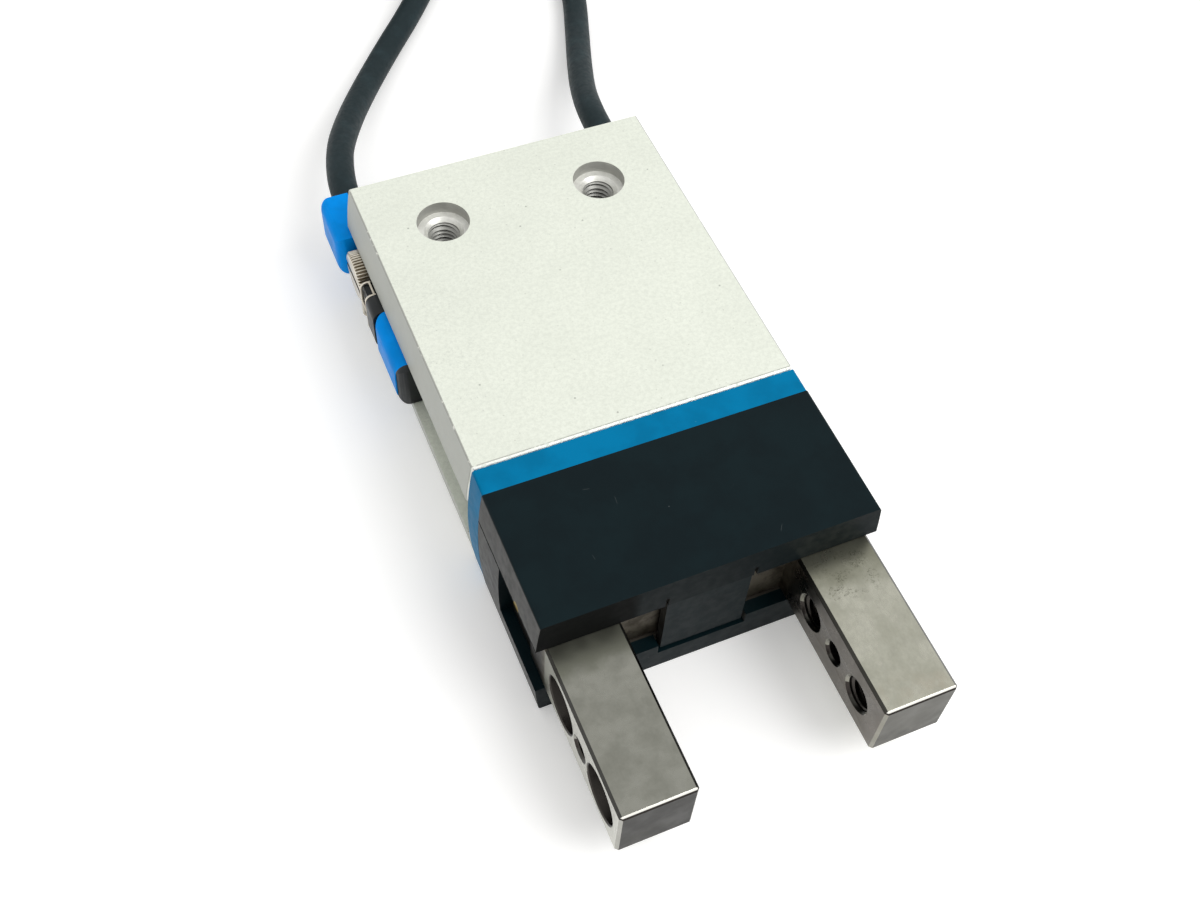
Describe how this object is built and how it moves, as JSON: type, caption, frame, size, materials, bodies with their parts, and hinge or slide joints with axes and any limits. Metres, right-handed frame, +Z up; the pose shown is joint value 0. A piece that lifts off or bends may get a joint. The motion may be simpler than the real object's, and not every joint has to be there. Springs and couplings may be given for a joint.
{
  "type": "parallel gripper",
  "caption": "Small pneumatic parallel gripper: flat aluminium cylinder housing, lever gear, two sliding steel jaws, and position sensors with cables in the side slots.",
  "frame": {"origin": "on the table under the middle of the object's box, without the cables", "axes": "+Y from the jaw tips to the rear face and the cables, +X across, +Z up from the table"},
  "size_m": [0.0449, 0.2264, 0.0146],
  "materials": {
    "housing_aluminium": "satin clear anodised, fine blasted grain",
    "trim_blue": "satin blue plastic",
    "cap_black": "matte black plastic",
    "jaw_steel": "ground steel",
    "gear_steel": "turned steel",
    "spring_steel": "bright spring wire",
    "piston_aluminium": "turned aluminium",
    "bush_bronze": "sintered bronze",
    "seal_rubber": "nitrile rubber",
    "magnet_grey": "sintered magnet",
    "sensor_black": "matte black plastic",
    "sensor_blue": "bright blue plastic",
    "clip_nickel": "nickel plated",
    "cable_black": "matte cable jacket",
    "contact_brass": "gold plated contacts"
  },
  "bodies": {
    "housing": {"housing": "housing_aluminium", "trim_band": "trim_blue", "upper_cap": "cap_black", "lower_cap": "cap_black", "lever_pins": "gear_steel", "end_bumper": "seal_rubber", "rod_guide": "piston_aluminium", "rod_bush": "bush_bronze", "rod_seal": "seal_rubber", "rod_guide_o_ring": "seal_rubber", "rod_guide_circlip": "spring_steel", "closing_spring": "spring_steel"},
    "piston": {"piston": "piston_aluminium", "piston_seal": "seal_rubber", "piston_magnet": "magnet_grey", "magnet_keeper": "piston_aluminium", "piston_rod": "gear_steel", "crosshead": "gear_steel"},
    "lever_left": {"lever_left": "gear_steel"},
    "lever_right": {"lever_right": "gear_steel"},
    "jaw_left": {"jaw_left": "jaw_steel"},
    "jaw_right": {"jaw_right": "jaw_steel"},
    "sensor_left": {"sensor_left_body": "sensor_black", "sensor_left_head": "sensor_blue", "sensor_left_light_strip": "sensor_blue", "sensor_left_clip": "clip_nickel", "cable_left": "cable_black", "cable_left_coil": "cable_black", "cable_left_tail": "cable_black", "plug_left_grip": "cable_black", "plug_left_core": "sensor_black", "plug_left_pins": "contact_brass"},
    "sensor_left_screw": {"sensor_left_clamp_screw": "clip_nickel"},
    "plug_left_ring": {"plug_left_nut": "clip_nickel"},
    "sensor_right": {"sensor_right_body": "sensor_black", "sensor_right_head": "sensor_blue", "sensor_right_light_strip": "sensor_blue", "sensor_right_clip": "clip_nickel", "cable_right": "cable_black", "cable_right_coil": "cable_black", "cable_right_tail": "cable_black", "plug_right_grip": "cable_black", "plug_right_core": "sensor_black", "plug_right_pins": "contact_brass"},
    "sensor_right_screw": {"sensor_right_clamp_screw": "clip_nickel"},
    "plug_right_ring": {"plug_right_nut": "clip_nickel"}
  },
  "joints": [
    {"name": "jaw_left_slide", "type": "slide", "parent": "housing", "child": "jaw_left", "axis": [-1, 0, 0], "range_m": [0, 0.003], "stiffness_N_per_m": 400, "springref_m": -0.002},
    {"name": "jaw_right_slide", "type": "slide", "parent": "housing", "child": "jaw_right", "axis": [1, 0, 0], "range_m": [0, 0.003]},
    {"name": "piston_slide", "type": "slide", "parent": "housing", "child": "piston", "axis": [0, -1, 0], "range_m": [0, 0.00289], "deforming": ["closing_spring"]},
    {"name": "lever_left_turn", "type": "hinge", "parent": "housing", "child": "lever_left", "pos_m": [-0.008, -0.00915, 0.0073], "axis": [0, 0, -1], "range_deg": [0, 32.26]},
    {"name": "sensor_left_slide", "type": "slide", "parent": "housing", "child": "sensor_left", "axis": [0, -1, 0], "range_m": [-0.003, 0.005]},
    {"name": "sensor_left_screw_turn", "type": "hinge", "parent": "sensor_left", "child": "sensor_left_screw", "pos_m": [-0.015, 0.02605, 0.0073], "axis": [-1, 0, 0], "range_deg": [0, 360]},
    {"name": "plug_left_ring_turn", "type": "hinge", "parent": "sensor_left", "child": "plug_left_ring", "pos_m": [0.0148, 0.13725, 0.00495], "axis": [0, 1, 0], "continuous": true},
    {"name": "lever_right_turn", "type": "hinge", "parent": "housing", "child": "lever_right", "pos_m": [0.008, -0.00915, 0.0073], "axis": [0, 0, 1], "range_deg": [0, 32.26]},
    {"name": "sensor_right_slide", "type": "slide", "parent": "housing", "child": "sensor_right", "axis": [0, -1, 0], "range_m": [-0.003, 0.005]},
    {"name": "sensor_right_screw_turn", "type": "hinge", "parent": "sensor_right", "child": "sensor_right_screw", "pos_m": [0.015, 0.02605, 0.0073], "axis": [1, 0, 0], "range_deg": [0, 360]},
    {"name": "plug_right_ring_turn", "type": "hinge", "parent": "sensor_right", "child": "plug_right_ring", "pos_m": [-0.0057, 0.14225, 0.00495], "axis": [0, 1, 0], "continuous": true}
  ],
  "couplings": [
    {"joint": "jaw_right_slide", "follows": "jaw_left_slide", "ratio": 1},
    {"joint": "lever_left_turn", "follows": "jaw_left_slide", "rad_per_m": 187.65},
    {"joint": "lever_right_turn", "follows": "jaw_left_slide", "rad_per_m": 187.65},
    {"joint": "piston_slide", "follows": "jaw_left_slide", "ratio": 0.96296}
  ]
}
